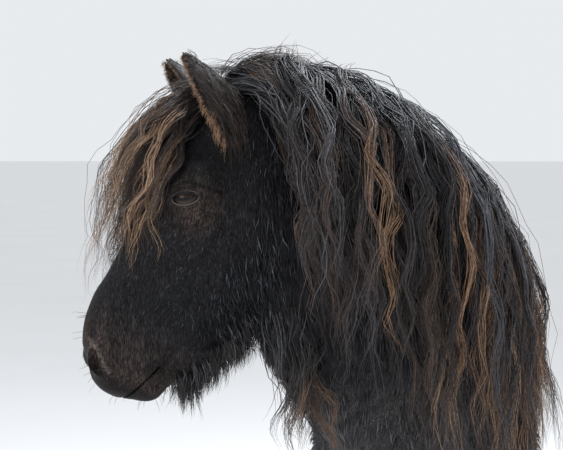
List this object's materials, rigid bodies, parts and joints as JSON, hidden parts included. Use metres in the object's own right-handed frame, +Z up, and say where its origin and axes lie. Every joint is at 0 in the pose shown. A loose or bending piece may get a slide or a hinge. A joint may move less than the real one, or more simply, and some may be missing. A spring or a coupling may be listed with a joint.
{
  "type": "icelandic horse model",
  "caption": "Life-size Icelandic horse standing still in its winter coat, its head turned to its right, with a long mane, forelock, tail and feathered fetlocks.",
  "frame": {"origin": "middle of the animal's bounding box in plan, at floor level under its hooves", "axes": "+Y towards the tail along the back, so the chest faces -Y; +X to the animal's left; +Z up"},
  "size_m": [0.8612, 1.969, 1.6691],
  "materials": {
    "coat": "matt black-brown winter fur",
    "mane_hair": "long black hair with sun-bleached brown ends",
    "tail_hair": "long black-brown hair",
    "ear_fur": "short brown fur with tan edges",
    "eye": "wet dark brown",
    "hoof_horn": "dull dark horn"
  },
  "bodies": {
    "root": {"head": "coat", "neck": "mane_hair", "torso": "coat", "tail": "tail_hair", "ear_left": "ear_fur", "ear_right": "ear_fur", "eye_left": "eye", "eye_right": "eye", "leg_fore_left": "coat", "leg_fore_right": "coat", "leg_hind_left": "coat", "leg_hind_right": "coat", "hoof_fore_left": "hoof_horn", "hoof_fore_right": "hoof_horn", "hoof_hind_left": "hoof_horn", "hoof_hind_right": "hoof_horn"}
  },
  "joints": []
}
